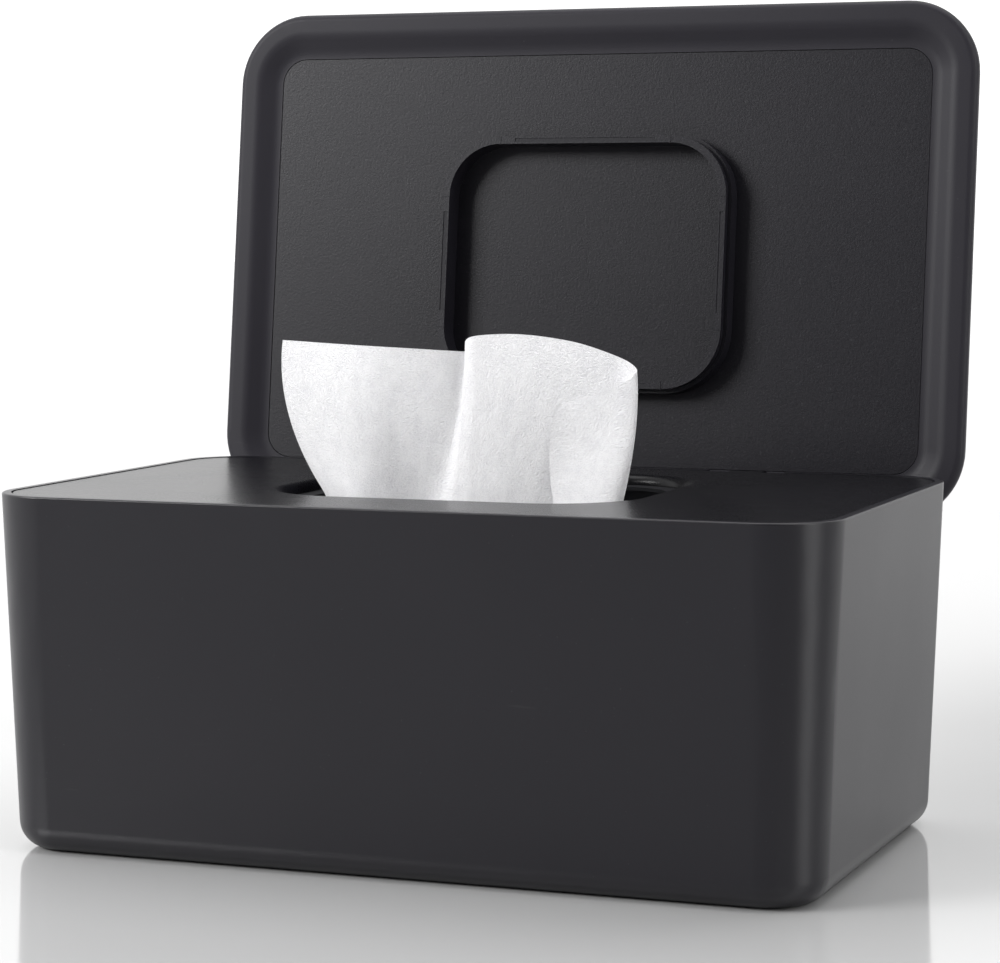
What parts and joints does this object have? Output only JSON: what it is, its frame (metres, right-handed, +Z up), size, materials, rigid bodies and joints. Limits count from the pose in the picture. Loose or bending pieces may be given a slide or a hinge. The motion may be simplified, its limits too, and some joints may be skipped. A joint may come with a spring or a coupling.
{
  "type": "wipes dispenser",
  "caption": "Tapered rounded worktop box for wet wipes with a flip-up lid, a lift-off deck with a rounded mouth, a sealing rib under the lid and a folded stack of wipes inside.",
  "frame": {"origin": "centre of the tub's standing rim, on the plane that the box rests on", "axes": "+X along the box to its right seen from the front, -Y to the front, +Z up; -Z is the resting face's outward normal"},
  "size_m": [0.19, 0.1414, 0.1888],
  "materials": {
    "tub_plastic": "fine satin, moulded",
    "deck_plastic": "smooth satin, moulded",
    "lid_plastic": "fine satin, moulded",
    "liner_plastic": "fine spark texture",
    "seal_silicone": "matt silicone",
    "foot_silicone": "matt silicone",
    "pin_steel": "drawn wire",
    "wipe_cloth": "spunlace nonwoven"
  },
  "bodies": {
    "tub": {"tub": "tub_plastic", "foot_front_left": "foot_silicone", "foot_front_right": "foot_silicone", "foot_rear_left": "foot_silicone", "foot_rear_right": "foot_silicone", "wipe_stack": "wipe_cloth", "next_wipe": "wipe_cloth"},
    "cover": {"deck": "deck_plastic", "closure_seal": "seal_silicone", "hinge_pin_left": "pin_steel", "hinge_pin_right": "pin_steel"},
    "lid": {"lid_shell": "lid_plastic", "lid_liner": "liner_plastic"},
    "wipe": {"pulled_wipe": "wipe_cloth"}
  },
  "joints": [
    {"name": "cover_lift", "type": "slide", "parent": "tub", "child": "cover", "axis": [0, 0, 1], "range_m": [0, 0.04]},
    {"name": "lid_hinge", "type": "hinge", "parent": "cover", "child": "lid", "pos_m": [0, 0.0582, 0.0739], "axis": [-1, 0, 0], "range_deg": [-97.1, 0], "deforming": ["pulled_wipe"]},
    {"name": "wipe_pull", "type": "slide", "parent": "cover", "child": "wipe", "axis": [0, 0, 1], "range_m": [0, 0.028]}
  ]
}
